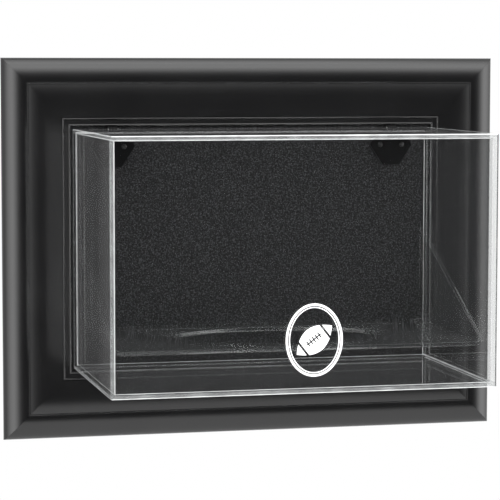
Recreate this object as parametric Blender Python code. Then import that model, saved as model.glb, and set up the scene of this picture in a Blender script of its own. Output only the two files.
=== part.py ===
"""Wall-hung football display case: a mitred black frame with a felt-faced back, and a clear
cover with a football cradle inside it that swings up on two butterfly hinges.

Metres, +Z up. The origin is at the centre of the frame's rear face, which lies on the wall at
Y = 0, and the front of the case faces -Y. Every depth below is measured forward from the wall.
"""

import math

import bmesh
import bpy
from mathutils import Matrix, Vector

# ---------------------------------------------------------------- driving dimensions
# clear cover; the frame is made to go round it
COVER_WIDTH = 0.3036
COVER_HEIGHT = 0.1968
COVER_DEPTH = 0.1775
SHEET = 0.0032               # thickness of the cover's panels

RAIL_WIDTH = 0.0558          # outer edge to the edge of the opening
COVER_SIDE_CLEAR = 0.0019    # each side of the cover to the edge of the opening
COVER_TOP_CLEAR = 0.0023     # top and bottom of the cover to the edge of the opening
FIT_GAP = 0.0003             # between two pieces that touch

# moulding of the rails, across the face from the outer edge (u) and forward from the wall (d)
SIDE_FLAT = 0.0022           # flat part of the outer side
BEAD_CREST_U = 0.0180        # outer edge to the crest of the outer bead
BEAD_CREST_D = 0.0102        # wall to the crest
VALLEY_U = 0.0210            # outer edge to the valley between the bead and the roll
BEAD_INNER_REACH = 0.0045    # half-width of the ellipse that the bead's inner side follows
ROLL_RADIUS = 0.0900         # radius of the flat roll, whose crest is the thickest place of the frame
ROLL_START_ANGLE = 9         # degrees that the roll climbs at, out of the valley
TAPER_ANGLE = 2              # degrees that the straight taper falls at, from the roll to the lip
TAPER_END_STEP = 0.0012      # down from the foot of the taper to the flat face of the lip
LIP_WIDTH = 0.0074           # flat lip with a reed along each side
LIP_THICKNESS = 0.0015
REED_RADIUS = 0.0009
REED_INSET = 0.0002
REBATE_WIDTH = 0.006         # how far the lip covers the back panel
REBATE_DEPTH = 0.0078        # wall to the rear face of the lip

FELT_THICKNESS = 0.0010
BACKBOARD_THICKNESS = 0.0032

# cradle, one bent sheet bonded between the cover's sides
CRADLE_SHEET = 0.0030
SHELF_ABOVE_BOTTOM = 0.0302  # inner face of the bottom panel up to the top of the shelf
CRADLE_BEND = 0.0055         # inside radius of the two bends
CRADLE_FRONT_GAP = 0.0155    # shelf's front edge to the front panel
CRADLE_BACK_GAP = 0.0010     # shelf's rear edge to the felt
WING_RISE = 0.078            # from the shelf up to the wings' rear corners
WING_FRONT_LIP = 0.0004      # the wings' cut starts this much above the shelf
HOLE_LENGTH = 0.168
HOLE_WIDTH = 0.102
HOLE_FORWARD = 0.00125       # middle of the shelf's depth forward to the centre of the hole

# butterfly hinges
HINGE_INSET = 0.0328         # each side of the cover to the centre of its hinge
BARREL_DIAMETER = 0.0050
CENTRE_KNUCKLE = 0.0026
OUTER_KNUCKLE = 0.0022
PIN_DIAMETER = 0.0016
PIN_HEAD = 0.0004            # height of the pin's domed heads
BARREL_ABOVE_COVER = 0.0021  # top of the barrel above the top of the cover
LEAF_THICKNESS = 0.0015
LEAF_ROOT_WIDTH = 0.026
LEAF_WIDEST = 0.0368
LEAF_TIP_WIDTH = 0.0147
LEAF_ROOT_LENGTH = 0.0088    # barrel end to the widest line
LEAF_TIP_LENGTH = 0.0168     # widest line to the tip
NECK_CLEAR = 0.0006          # fixed leaf below the cover leaf, so that it swings free
NECK_INSET = 0.0001          # necks inside the faces of the leaf and knuckle they join
NOTCH_CLEAR = 0.0008         # round the barrel, in the cover's top panel
HINGE_SCREW_SPACING = 0.019
HINGE_SCREW_SHANK = 0.0020
HINGE_SCREW_HEAD = 0.0042
HINGE_SCREW_HEAD_HEIGHT = 0.0011
HINGE_SCREW_SHORT = 0.0010   # screw's tip to the rear face of the backboard

# fixings in the back of the frame
HANGER_INSET = 0.0995        # each end of the frame to the centre of its hanger
HANGER_LENGTH = 0.042
HANGER_WIDTH = 0.016
HANGER_THICKNESS = 0.0012
HANGER_FROM_REBATE = 0.0198  # rebate of the top rail to the hanger's centre line
HANGER_SINK = 0.0002         # hanger's rear face in front of the wall
HANGER_SCREW_SPACING = 0.034
KEYHOLE_DIAMETER = 0.0090
KEYHOLE_SLOT = 0.0046
KEYHOLE_TRAVEL = 0.0050      # round hole's centre up to the slot's end
HEAD_ROOM = 0.0070           # depth of the pocket behind the keyhole
SCREW_SHANK = 0.0025
SCREW_HEAD = 0.0050
SCREW_LENGTH = 0.0085
POINT_LENGTH = 0.0140
POINT_WIDTH = 0.0080
POINT_THICKNESS = 0.0006
POINT_BITE = 0.0055          # how far a retainer point goes into its rail
POINT_EDGE_INSET = 0.060     # outer points of the long rails, from the rebate's corners
NAIL_LEG = 0.0080
NAIL_GAUGE = 0.0008
NAIL_DEPTH = 0.0070
NAIL_FROM_EDGE = 0.0100      # outer edges to the bend of the V-nail
NAIL_SINK = 0.0004           # below the rear face of the rails

ARC_STEPS = 10
REED_STEPS = 6
ROUND_STEPS = 32
SMALL_ROUND_STEPS = 20
COLLECTION = "football_display_case"

# ---------------------------------------------------------------- derived places
FRAME_WIDTH = COVER_WIDTH + 2 * (COVER_SIDE_CLEAR + RAIL_WIDTH)
FRAME_HEIGHT = COVER_HEIGHT + 2 * (COVER_TOP_CLEAR + RAIL_WIDTH)
LIP_D = REBATE_DEPTH + LIP_THICKNESS
FELT_FRONT = REBATE_DEPTH - FIT_GAP
FELT_BACK = FELT_FRONT - FELT_THICKNESS
BOARD_FRONT = FELT_BACK - FIT_GAP
BOARD_BACK = BOARD_FRONT - BACKBOARD_THICKNESS
COVER_BACK = FELT_FRONT + FIT_GAP
COVER_FRONT = COVER_BACK + COVER_DEPTH
COVER_TOP = COVER_HEIGHT / 2
BARREL_RADIUS = BARREL_DIAMETER / 2
AXIS_D = COVER_BACK + BARREL_RADIUS
AXIS_Z = COVER_TOP + BARREL_ABOVE_COVER - BARREL_RADIUS
BARREL_LENGTH = CENTRE_KNUCKLE + 2 * (OUTER_KNUCKLE + FIT_GAP)
COVER_LEAF_TOP = COVER_TOP - SHEET - FIT_GAP
COVER_LEAF_BOTTOM = COVER_LEAF_TOP - LEAF_THICKNESS
FIXED_LEAF_TOP = COVER_LEAF_BOTTOM - NECK_CLEAR
FIXED_LEAF_BACK = FELT_FRONT + FIT_GAP
FIXED_LEAF_FRONT = FIXED_LEAF_BACK + LEAF_THICKNESS
REBATE_X = FRAME_WIDTH / 2 - RAIL_WIDTH + REBATE_WIDTH
REBATE_Z = FRAME_HEIGHT / 2 - RAIL_WIDTH + REBATE_WIDTH
SHELF_TOP = -COVER_HEIGHT / 2 + SHEET + SHELF_ABOVE_BOTTOM
SHELF_BACK = FELT_FRONT + CRADLE_BACK_GAP
SHELF_FRONT = COVER_FRONT - SHEET - CRADLE_FRONT_GAP
HOLE_D = (SHELF_BACK + SHELF_FRONT) / 2 + HOLE_FORWARD
HINGE_SCREW_TIP_D = BOARD_BACK + HINGE_SCREW_SHORT

# turns of a shape's own +Z
ALONG_X = Matrix.Rotation(math.pi / 2, 4, "Y")
TOWARDS_FRONT = Matrix.Rotation(math.pi / 2, 4, "X")
TOWARDS_WALL = Matrix.Rotation(-math.pi / 2, 4, "X")


# ---------------------------------------------------------------- scene helpers
def clear_scene():
    for thing in list(bpy.data.objects):
        bpy.data.objects.remove(thing, do_unlink=True)


def collection(name):
    made = bpy.data.collections.get(name) or bpy.data.collections.new(name)
    if made.name not in bpy.context.scene.collection.children:
        bpy.context.scene.collection.children.link(made)
    return made


def material(name, colour, roughness, metallic=0.0, transmission=0.0):
    mat = bpy.data.materials.new(name)
    mat.use_nodes = True
    shader = mat.node_tree.nodes["Principled BSDF"]
    shader.inputs["Base Color"].default_value = (*colour, 1)
    shader.inputs["Roughness"].default_value = roughness
    shader.inputs["Metallic"].default_value = metallic
    shader.inputs["Transmission Weight"].default_value = transmission
    return mat


FINISHES = {
    "frame": ((0.013, 0.013, 0.014), 0.32, 0.0, 0.0),
    "felt": ((0.020, 0.020, 0.021), 0.95, 0.0, 0.0),
    "hardboard": ((0.16, 0.09, 0.045), 0.85, 0.0, 0.0),
    "acrylic": ((0.95, 0.96, 0.96), 0.03, 0.0, 0.9),
    "hinge_plastic": ((0.008, 0.008, 0.008), 0.35, 0.0, 0.0),
    "steel": ((0.55, 0.55, 0.56), 0.35, 1.0, 0.0),
    "black_steel": ((0.02, 0.02, 0.02), 0.4, 0.6, 0.0),
}


def new_object(name, mesh, finish, parent=None):
    """A named sub-part with a material of its own."""
    thing = bpy.data.objects.new(name, mesh)
    collection(COLLECTION).objects.link(thing)
    if finish:
        mesh.materials.append(material(name + "_" + finish, *FINISHES[finish]))
    if parent:
        thing.parent = parent
        thing.matrix_parent_inverse = Matrix.Translation(-parent.location)
    return thing


def mesh_of(bm, name):
    bmesh.ops.recalc_face_normals(bm, faces=bm.faces)
    mesh = bpy.data.meshes.new(name)
    bm.to_mesh(mesh)
    bm.free()
    return mesh


def make_cutter(name, mesh, matrix=Matrix()):
    thing = bpy.data.objects.new(name, mesh)
    collection("cutters").objects.link(thing)
    thing.matrix_world = matrix
    thing.hide_render = True
    thing.display_type = "WIRE"
    return thing


def boolean(thing, other, operation="DIFFERENCE"):
    step = thing.modifiers.new(operation.title() + "_" + other.name, "BOOLEAN")
    step.object = other
    step.operation = operation
    step.solver = "EXACT"


def shade_round(thing, angle=40):
    thing.data.shade_smooth()
    thing.data.set_sharp_from_angle(angle=math.radians(angle))


# ---------------------------------------------------------------- shape helpers
def box_mesh(name, low, high):
    """A box between two corners given as (x, depth, z), with depth forward from the wall."""
    size = [high[axis] - low[axis] for axis in range(3)]
    middle = [(high[axis] + low[axis]) / 2 for axis in range(3)]
    bm = bmesh.new()
    place = Matrix.Translation((middle[0], -middle[1], middle[2])) @ Matrix.Diagonal((*size, 1))
    bmesh.ops.create_cube(bm, size=1, matrix=place)
    return mesh_of(bm, name)


def prism_mesh(name, outline, thickness, place=Matrix()):
    """An outline of (x, y) points, extruded by thickness along its own +Z and then placed."""
    bm = bmesh.new()
    face = bm.faces.new([bm.verts.new((x, y, 0)) for x, y in outline])
    grown = bmesh.ops.extrude_face_region(bm, geom=[face])
    top = [v for v in grown["geom"] if isinstance(v, bmesh.types.BMVert)]
    bmesh.ops.translate(bm, verts=top, vec=(0, 0, thickness))
    bmesh.ops.transform(bm, matrix=place, verts=bm.verts)
    return mesh_of(bm, name)


def rod_mesh(name, radius, length, place, steps=SMALL_ROUND_STEPS):
    """A cylinder centred on its place, along its own Z."""
    bm = bmesh.new()
    bmesh.ops.create_cone(
        bm, cap_ends=True, segments=steps, radius1=radius, radius2=radius, depth=length, matrix=place
    )
    return mesh_of(bm, name)


def turned_mesh(name, profile, place, steps=SMALL_ROUND_STEPS):
    """A profile of (radius, height) points, from top to bottom, turned round its own Z."""
    bm = bmesh.new()
    verts = [bm.verts.new((radius, 0, height)) for radius, height in profile]
    edges = [bm.edges.new(pair) for pair in zip(verts, verts[1:])]
    bmesh.ops.spin(
        bm, geom=verts + edges, cent=(0, 0, 0), axis=(0, 0, 1), angle=math.tau, steps=steps, use_merge=True
    )
    bmesh.ops.remove_doubles(bm, verts=bm.verts, dist=1e-6)
    bmesh.ops.transform(bm, matrix=place, verts=bm.verts)
    return mesh_of(bm, name)


def ellipse_arc(centre_u, centre_d, radius_u, radius_d, start, end, steps=ARC_STEPS):
    angles = [start + (end - start) * i / steps for i in range(steps + 1)]
    return [(centre_u + radius_u * math.cos(a), centre_d + radius_d * math.sin(a)) for a in angles]


def plate_mesh(name, outline, d_back, d_front):
    """An upright plate with an outline of (x, z) points, between two depths from the wall."""
    place = Matrix.Translation((0, -d_back, 0)) @ TOWARDS_FRONT
    return prism_mesh(name, outline, d_front - d_back, place)


# ---------------------------------------------------------------- frame
def rail_profile():
    """The moulding's outline: u from the outer edge inwards, d forward from the wall."""
    quarter = math.pi / 2
    lip_u = RAIL_WIDTH - LIP_WIDTH
    climb, fall = math.radians(ROLL_START_ANGLE), math.radians(TAPER_ANGLE)
    roll_u = VALLEY_U + ROLL_RADIUS * math.sin(climb)
    taper_length = lip_u - roll_u - ROLL_RADIUS * math.sin(fall)
    taper_top = LIP_D + TAPER_END_STEP + taper_length * math.tan(fall)
    roll_d = taper_top - ROLL_RADIUS * math.cos(fall)
    valley_d = roll_d + ROLL_RADIUS * math.cos(climb)
    outer = ellipse_arc(
        BEAD_CREST_U, SIDE_FLAT, BEAD_CREST_U, BEAD_CREST_D - SIDE_FLAT, math.pi, quarter
    )
    end = math.acos((VALLEY_U - BEAD_CREST_U) / BEAD_INNER_REACH)
    inner_height = (BEAD_CREST_D - valley_d) / (1 - math.sin(end))
    inner = ellipse_arc(
        BEAD_CREST_U, BEAD_CREST_D - inner_height, BEAD_INNER_REACH, inner_height, quarter, end
    )
    roll = ellipse_arc(roll_u, roll_d, ROLL_RADIUS, ROLL_RADIUS, quarter + climb, quarter - fall)
    foot = (lip_u, LIP_D + TAPER_END_STEP)
    reeds = []
    for centre in (lip_u + REED_INSET + REED_RADIUS, RAIL_WIDTH - REED_INSET - REED_RADIUS):
        reeds += ellipse_arc(centre, LIP_D, REED_RADIUS, REED_RADIUS, math.pi, 0, REED_STEPS)
    rear = [
        (RAIL_WIDTH, LIP_D),
        (RAIL_WIDTH, REBATE_DEPTH),
        (RAIL_WIDTH - REBATE_WIDTH, REBATE_DEPTH),
        (RAIL_WIDTH - REBATE_WIDTH, 0),
        (0, 0),
    ]
    return outer + inner[1:] + roll[1:] + [foot, (lip_u, LIP_D)] + reeds + rear


def rail_mesh(name, length):
    """One rail along its own X with its outer edge at Z = 0 and its face towards -Y, mitred."""
    bm = bmesh.new()
    start = [bm.verts.new((-length / 2, -d, -u)) for u, d in rail_profile()]
    grown = bmesh.ops.extrude_face_region(bm, geom=[bm.faces.new(start)])
    moved = [v for v in grown["geom"] if isinstance(v, bmesh.types.BMVert)]
    bmesh.ops.translate(bm, verts=moved, vec=(length, 0, 0))
    for side in (-1, 1):
        normal = Vector((side, 0, -1)).normalized()
        corner = Vector((side * length / 2, 0, 0)) - normal * FIT_GAP / 2
        cut = bmesh.ops.bisect_plane(
            bm,
            geom=bm.verts[:] + bm.edges[:] + bm.faces[:],
            plane_co=corner,
            plane_no=normal,
            clear_outer=True,
        )
        rim = [e for e in cut["geom_cut"] if isinstance(e, bmesh.types.BMEdge)]
        bmesh.ops.holes_fill(bm, edges=rim)
    return mesh_of(bm, name)


RAILS = {
    "top": (FRAME_WIDTH, FRAME_HEIGHT / 2, 0),
    "right": (FRAME_HEIGHT, FRAME_WIDTH / 2, 90),
    "bottom": (FRAME_WIDTH, FRAME_HEIGHT / 2, 180),
    "left": (FRAME_HEIGHT, FRAME_WIDTH / 2, 270),
}


def rail_place(side):
    """From a rail's own axes, with its outer edge at Z = 0, to its side of the frame."""
    _, reach, turn = RAILS[side]
    return Matrix.Rotation(math.radians(turn), 4, "Y") @ Matrix.Translation((0, 0, reach))


def make_rails():
    rails = {}
    for side, (length, _, _) in RAILS.items():
        rail = new_object("frame_rail_" + side, rail_mesh("rail_" + side, length), "frame")
        rail.matrix_world = rail_place(side)
        shade_round(rail, 30)
        rails[side] = rail
    return rails


# ---------------------------------------------------------------- back panel
def make_back():
    half_x = REBATE_X - FIT_GAP
    half_z = REBATE_Z - FIT_GAP
    board = box_mesh("board", (-half_x, BOARD_BACK, -half_z), (half_x, BOARD_FRONT, half_z))
    felt = box_mesh("felt", (-half_x, FELT_BACK, -half_z), (half_x, FELT_FRONT, half_z))
    return new_object("backboard", board, "hardboard"), new_object("felt_panel", felt, "felt")


def point_places():
    """Side and distance along the rail of each retainer point."""
    long_reach = REBATE_X - POINT_EDGE_INSET
    short_reach = REBATE_Z / 3
    places = [(side, along) for side in ("top", "bottom") for along in (-long_reach, 0, long_reach)]
    places += [(side, along) for side in ("left", "right") for along in (-short_reach, short_reach)]
    return places


def point_mesh(name, along, grow=0.0):
    """A retainer point in its rail's own axes; the pocket is the same shape, grown."""
    wall = RAIL_WIDTH - REBATE_WIDTH
    d_back = BOARD_BACK - FIT_GAP - POINT_THICKNESS
    return box_mesh(
        name,
        (along - POINT_WIDTH / 2 - grow, d_back - grow, -(wall - POINT_BITE + POINT_LENGTH) - grow),
        (along + POINT_WIDTH / 2 + grow, d_back + POINT_THICKNESS + grow, -(wall - POINT_BITE) + grow),
    )


def make_points(rails):
    for number, (side, along) in enumerate(point_places(), 1):
        name = f"retainer_point_{number}"
        point = new_object(name, point_mesh(name, along), "steel")
        point.matrix_world = rail_place(side)
        pocket = make_cutter(f"point_pocket_{number}", point_mesh(name, along, FIT_GAP), rail_place(side))
        boolean(rails[side], pocket)


def nail_outline(side_x, side_z, grow):
    """A V-nail across the mitre of one corner: the bend lies on the mitre, a leg in each rail."""
    half = NAIL_GAUGE / 2 + grow
    leg = NAIL_LEG + grow
    bend_x = FRAME_WIDTH / 2 - NAIL_FROM_EDGE
    bend_z = FRAME_HEIGHT / 2 - NAIL_FROM_EDGE
    angle = [(half, half), (-leg, half), (-leg, -half), (-half, -half), (-half, -leg), (half, -leg)]
    return [(side_x * (bend_x + x), side_z * (bend_z + z)) for x, z in angle]


def make_nails(rails):
    corners = {
        "top_right": (1, 1),
        "top_left": (-1, 1),
        "bottom_right": (1, -1),
        "bottom_left": (-1, -1),
    }
    deepest = NAIL_SINK + NAIL_DEPTH
    for corner, (side_x, side_z) in corners.items():
        nail = plate_mesh("nail", nail_outline(side_x, side_z, 0), NAIL_SINK, deepest)
        new_object("corner_nail_" + corner, nail, "steel")
        hollow = plate_mesh("pocket", nail_outline(side_x, side_z, FIT_GAP), -FIT_GAP, deepest + FIT_GAP)
        pocket = make_cutter("nail_pocket_" + corner, hollow)
        for side in corner.split("_"):
            boolean(rails[side], pocket)


# ---------------------------------------------------------------- hangers
def screw_mesh(name, place, grow=0.0):
    """A countersunk screw with its head's flat face at the place, facing its own +Z.

    grow makes the hole for it, which also runs out past the head.
    """
    cone = (SCREW_HEAD - SCREW_SHANK) / 2
    profile = [
        (0, grow),
        (SCREW_HEAD / 2 + grow, grow),
        (SCREW_HEAD / 2 + grow, -grow),
        (SCREW_SHANK / 2 + grow, -cone - grow),
        (SCREW_SHANK / 2 + grow, SCREW_SHANK - SCREW_LENGTH - grow),
        (0, -SCREW_LENGTH - grow),
    ]
    if not grow:
        del profile[2]
    return turned_mesh(name, profile, place)


def slot_outline(centre_x, low_z, high_z, radius, steps=ARC_STEPS):
    """An upright slot with round ends."""
    top = ellipse_arc(centre_x, high_z, radius, radius, 0, math.pi, steps)
    return top + ellipse_arc(centre_x, low_z, radius, radius, math.pi, math.tau, steps)


def hanger_outline(centre_x, centre_z, grow):
    """A flat strip with round ends, lying along X."""
    radius = HANGER_WIDTH / 2
    reach = HANGER_LENGTH / 2 - radius
    right = ellipse_arc(centre_x + reach, centre_z, radius + grow, radius + grow, -math.pi / 2, math.pi / 2)
    left = ellipse_arc(centre_x - reach, centre_z, radius + grow, radius + grow, math.pi / 2, 1.5 * math.pi)
    return right + left


def make_hangers(rails):
    """A keyhole hanger near each end of the top rail, let in flush with the rear face."""
    centre_z = REBATE_Z + HANGER_FROM_REBATE
    plate_front = HANGER_SINK + HANGER_THICKNESS
    drop = (KEYHOLE_TRAVEL + KEYHOLE_SLOT / 2 - KEYHOLE_DIAMETER / 2) / 2
    for hand, side in (("left", -1), ("right", 1)):
        centre_x = side * (FRAME_WIDTH / 2 - HANGER_INSET)
        strip = plate_mesh("strip", hanger_outline(centre_x, centre_z, 0), HANGER_SINK, plate_front)
        hanger = new_object("keyhole_hanger_" + hand, strip, "steel")
        round_z = centre_z - drop
        hole = rod_mesh(
            "hole",
            KEYHOLE_DIAMETER / 2,
            4 * HANGER_THICKNESS,
            Matrix.Translation((centre_x, -plate_front, round_z)) @ TOWARDS_FRONT,
            ROUND_STEPS,
        )
        slot = plate_mesh(
            "slot",
            slot_outline(centre_x, round_z, round_z + KEYHOLE_TRAVEL, KEYHOLE_SLOT / 2),
            -HANGER_THICKNESS,
            3 * HANGER_THICKNESS,
        )
        boolean(hanger, make_cutter("keyhole_round_" + hand, hole))
        boolean(hanger, make_cutter("keyhole_slot_" + hand, slot))
        bed = plate_mesh("bed", hanger_outline(centre_x, centre_z, FIT_GAP), -FIT_GAP, plate_front + FIT_GAP)
        room = plate_mesh(
            "room",
            slot_outline(centre_x, round_z, round_z + KEYHOLE_TRAVEL, KEYHOLE_DIAMETER / 2),
            0,
            HEAD_ROOM,
        )
        boolean(rails["top"], make_cutter("hanger_bed_" + hand, bed))
        boolean(rails["top"], make_cutter("hanger_head_room_" + hand, room))
        for end, way in (("outer", side), ("inner", -side)):
            x = centre_x + way * HANGER_SCREW_SPACING / 2
            place = Matrix.Translation((x, -HANGER_SINK, centre_z)) @ TOWARDS_WALL
            screw = new_object(f"hanger_screw_{hand}_{end}", screw_mesh("screw", place), "steel")
            shade_round(screw, 30)
            clearance = screw_mesh("clearance", place, FIT_GAP)
            hole = make_cutter(f"hanger_screw_hole_{hand}_{end}", clearance)
            boolean(hanger, hole)
            boolean(rails["top"], hole)


# ---------------------------------------------------------------- clear cover
def make_cover(axis):
    """Five flat panels: the front covers the ends of the others, top and bottom cover the sides."""
    half_x = COVER_WIDTH / 2
    half_z = COVER_HEIGHT / 2
    back = COVER_BACK
    front = COVER_FRONT - SHEET - FIT_GAP
    side_z = half_z - SHEET - FIT_GAP
    panels = {
        "front": ((-half_x, COVER_FRONT - SHEET, -half_z), (half_x, COVER_FRONT, half_z)),
        "top": ((-half_x, back, half_z - SHEET), (half_x, front, half_z)),
        "bottom": ((-half_x, back, -half_z), (half_x, front, SHEET - half_z)),
        "left": ((-half_x, back, -side_z), (SHEET - half_x, front, side_z)),
        "right": ((half_x - SHEET, back, -side_z), (half_x, front, side_z)),
    }
    made = {}
    for side, (low, high) in panels.items():
        name = f"cover_{side}_panel"
        made[side] = new_object(name, box_mesh(name, low, high), "acrylic", axis)
    notch_x = BARREL_LENGTH / 2 + FIT_GAP + PIN_HEAD + NOTCH_CLEAR
    notch_front = AXIS_D + BARREL_RADIUS + NOTCH_CLEAR
    for hand, centre_x in HINGE_PLACES.items():
        low = (centre_x - notch_x, back - SHEET, half_z - 2 * SHEET)
        high = (centre_x + notch_x, notch_front, half_z + SHEET)
        boolean(made["top"], make_cutter("hinge_notch_" + hand, box_mesh("notch", low, high)))


def cradle_section():
    """The bent sheet seen from the front, as (x, z): a shelf with both sides turned up."""
    half = COVER_WIDTH / 2 - SHEET - FIT_GAP
    inside, outside = CRADLE_BEND, CRADLE_BEND + CRADLE_SHEET
    top = SHELF_TOP + WING_RISE + outside
    bend_x = half - outside
    bend_z = SHELF_TOP + inside
    outer_right = ellipse_arc(bend_x, bend_z, outside, outside, -math.pi / 2, 0)
    inner_right = ellipse_arc(bend_x, bend_z, inside, inside, 0, -math.pi / 2)
    right = outer_right + [(half, top), (half - CRADLE_SHEET, top)] + inner_right
    left = [(-x, z) for x, z in reversed(right)]
    return right + left


def make_cradle(axis):
    """The cradle: the section run from back to front, its sides cut on a slope, and an oval hole."""
    section = plate_mesh("cradle", cradle_section(), SHELF_BACK, SHELF_FRONT)
    bm = bmesh.new()
    bm.from_mesh(section)
    low_corner = Vector((0, -SHELF_FRONT, SHELF_TOP + WING_FRONT_LIP))
    high_corner = Vector((0, -SHELF_BACK, SHELF_TOP + WING_RISE))
    slope = (high_corner - low_corner).normalized()
    cut = bmesh.ops.bisect_plane(
        bm,
        geom=bm.verts[:] + bm.edges[:] + bm.faces[:],
        plane_co=low_corner,
        plane_no=Vector((1, 0, 0)).cross(slope),
        clear_outer=True,
    )
    bmesh.ops.holes_fill(bm, edges=[e for e in cut["geom_cut"] if isinstance(e, bmesh.types.BMEdge)])
    cradle = new_object("football_cradle", mesh_of(bm, "cradle"), "acrylic", axis)
    shade_round(cradle, 30)
    middle = Matrix.Translation((0, -HOLE_D, SHELF_TOP - CRADLE_SHEET / 2))
    oval = middle @ Matrix.Diagonal((HOLE_LENGTH / 2, HOLE_WIDTH / 2, 1, 1))
    hole = rod_mesh("oval", 1, 4 * CRADLE_SHEET, oval, 2 * ROUND_STEPS)
    boolean(cradle, make_cutter("cradle_hole", hole))


# ---------------------------------------------------------------- hinges
HINGE_PLACES = {"left": HINGE_INSET - COVER_WIDTH / 2, "right": COVER_WIDTH / 2 - HINGE_INSET}


def leaf_outline(root, away):
    """A butterfly leaf as (across, along): it widens from its root and narrows to its tip."""
    widest = root + away * LEAF_ROOT_LENGTH
    tip = widest + away * LEAF_TIP_LENGTH
    right = [(LEAF_ROOT_WIDTH / 2, root), (LEAF_WIDEST / 2, widest), (LEAF_TIP_WIDTH / 2, tip)]
    return right + [(-x, along) for x, along in reversed(right)]


def knuckle(name, low_x, high_x, neck_low, neck_high):
    """Two shapes to join to a leaf: a knuckle of the barrel, and the slightly narrower neck below it."""
    middle = Matrix.Translation(((low_x + high_x) / 2, -AXIS_D, AXIS_Z))
    barrel = rod_mesh(name, BARREL_RADIUS, high_x - low_x, middle @ ALONG_X)
    neck = box_mesh(name, (low_x + NECK_INSET, *neck_low), (high_x - NECK_INSET, *neck_high))
    return make_cutter(name + "_barrel", barrel), make_cutter(name + "_neck", neck)


def make_hinge(hand, centre_x, board, felt, axis):
    bore = make_cutter(
        f"hinge_bore_{hand}",
        rod_mesh(
            "bore",
            PIN_DIAMETER / 2 + FIT_GAP,
            2 * BARREL_LENGTH,
            Matrix.Translation((centre_x, -AXIS_D, AXIS_Z)) @ ALONG_X,
        ),
    )
    outline = [(centre_x + x, z) for x, z in leaf_outline(FIXED_LEAF_TOP, -1)]
    fixed = new_object(
        f"hinge_{hand}_wall_leaf",
        plate_mesh("leaf", outline, FIXED_LEAF_BACK, FIXED_LEAF_FRONT),
        "hinge_plastic",
    )
    half = CENTRE_KNUCKLE / 2
    low = (FIXED_LEAF_BACK + NECK_INSET, FIXED_LEAF_TOP - LEAF_THICKNESS)
    high = (AXIS_D - PIN_DIAMETER / 2, AXIS_Z)
    for shape in knuckle(f"wall_knuckle_{hand}", centre_x - half, centre_x + half, low, high):
        boolean(fixed, shape, "UNION")
    boolean(fixed, bore)

    root = AXIS_D + BARREL_RADIUS + FIT_GAP
    outline = [(centre_x + x, -y) for x, y in leaf_outline(root, 1)]
    place = Matrix.Translation((0, 0, COVER_LEAF_BOTTOM))
    moving = new_object(
        f"hinge_{hand}_cover_leaf", prism_mesh("leaf", outline, LEAF_THICKNESS, place), "hinge_plastic", axis
    )
    low = (AXIS_D - PIN_DIAMETER / 2, COVER_LEAF_BOTTOM + NECK_INSET)
    high = (root + 2 * NECK_INSET, AXIS_Z - PIN_DIAMETER / 2)
    near = CENTRE_KNUCKLE / 2 + FIT_GAP
    for way in (-1, 1):
        ends = sorted((centre_x + way * near, centre_x + way * (near + OUTER_KNUCKLE)))
        name = f"cover_knuckle_{hand}_{'outer' if way * centre_x > 0 else 'inner'}"
        for shape in knuckle(name, *ends, low, high):
            boolean(moving, shape, "UNION")
    boolean(moving, bore)

    make_pin(hand, centre_x)
    for way in (-1, 1):
        x = centre_x + way * HINGE_SCREW_SPACING / 2
        z = FIXED_LEAF_TOP - LEAF_ROOT_LENGTH
        end = "outer" if way * centre_x > 0 else "inner"
        place = Matrix.Translation((x, -(FIXED_LEAF_FRONT + FIT_GAP), z)) @ TOWARDS_FRONT
        screw = new_object(f"hinge_screw_{hand}_{end}", hinge_screw_mesh(place), "black_steel")
        shade_round(screw, 30)
        length = FIXED_LEAF_FRONT + 2 * FIT_GAP - HINGE_SCREW_TIP_D
        middle = place @ Matrix.Translation((0, 0, -length / 2))
        hole = rod_mesh("hole", HINGE_SCREW_SHANK / 2 + FIT_GAP, length + 2 * FIT_GAP, middle)
        cutter = make_cutter(f"hinge_screw_hole_{hand}_{end}", hole)
        for thing in (fixed, felt, board):
            boolean(thing, cutter)


def hinge_screw_mesh(place):
    """A pan-head screw whose head sits at its own Z = 0 and above."""
    head, shank = HINGE_SCREW_HEAD / 2, HINGE_SCREW_SHANK / 2
    length = FIXED_LEAF_FRONT + FIT_GAP - HINGE_SCREW_TIP_D
    dome = ellipse_arc(0, 0, head, HINGE_SCREW_HEAD_HEIGHT, math.pi / 2, 0, 5)
    profile = [(0, HINGE_SCREW_HEAD_HEIGHT)] + dome[1:] + [(shank, 0), (shank, shank - length), (0, -length)]
    return turned_mesh("hinge_screw", profile, place)


def make_pin(hand, centre_x):
    """The pin, with a low domed head past each end of the barrel."""
    reach = BARREL_LENGTH / 2 + FIT_GAP
    radius = PIN_DIAMETER / 2
    head = ellipse_arc(0, reach, 1.6 * radius, PIN_HEAD, math.pi / 2, 0, 4)
    top = [(0, reach + PIN_HEAD)] + head[1:] + [(radius, reach)]
    profile = top + [(r, -z) for r, z in reversed(top)]
    place = Matrix.Translation((centre_x, -AXIS_D, AXIS_Z)) @ ALONG_X
    pin = new_object(f"hinge_pin_{hand}", turned_mesh("pin", profile, place), "steel")
    shade_round(pin, 30)


# ---------------------------------------------------------------- assembly
def main():
    clear_scene()
    rails = make_rails()
    board, felt = make_back()
    make_points(rails)
    make_nails(rails)
    make_hangers(rails)
    axis = bpy.data.objects.new("cover_hinge_axis", None)
    collection(COLLECTION).objects.link(axis)
    axis.location = (0, -AXIS_D, AXIS_Z)
    make_cover(axis)
    make_cradle(axis)
    for hand, centre_x in HINGE_PLACES.items():
        make_hinge(hand, centre_x, board, felt, axis)


main()
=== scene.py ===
"""Looks of the wall-hung football display case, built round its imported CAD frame.

Metres, +Z up. The wall is at Y = 0 and the case faces -Y; depths are measured forward from it.
"""

import math

import bmesh
import bpy
from mathutils import Matrix, Vector


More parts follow.
